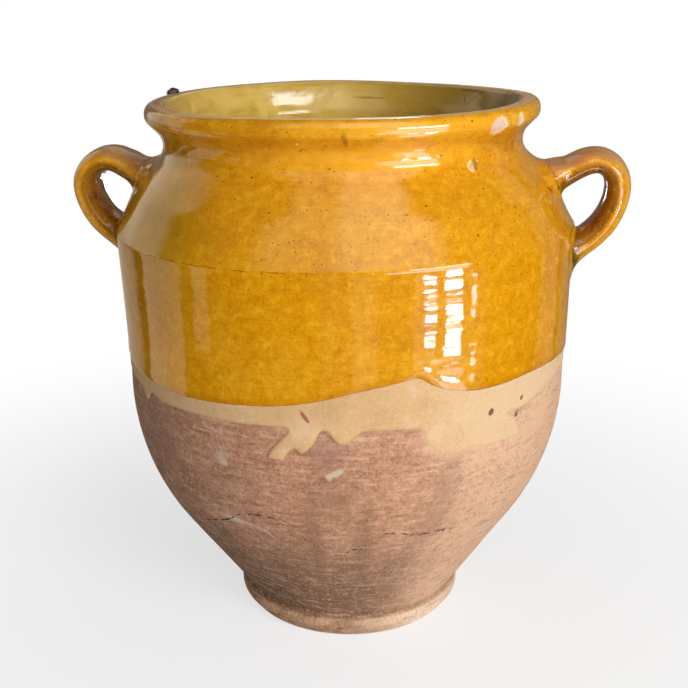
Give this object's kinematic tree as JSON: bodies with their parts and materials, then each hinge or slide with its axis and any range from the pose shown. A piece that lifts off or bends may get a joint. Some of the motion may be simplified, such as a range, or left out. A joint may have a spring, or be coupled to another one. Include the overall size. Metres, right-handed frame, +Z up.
{
  "type": "confit pot",
  "caption": "Round-bellied earthenware storage pot with ear-shaped strap handles at the shoulder, an everted lip, and amber glaze over a bare clay lower body.",
  "frame": {"origin": "middle of the foot, on the plane the pot rests on", "axes": "+Z up along the turning axis, +X through the handle that is on the right in the picture, -Y towards the pictured side"},
  "size_m": [0.3128, 0.2544, 0.3],
  "materials": {
    "glazed_clay": "glossy amber glaze on the upper half and the inside, matte slip and bare fired clay below"
  },
  "bodies": {
    "root": {"pot": "glazed_clay"}
  },
  "joints": []
}
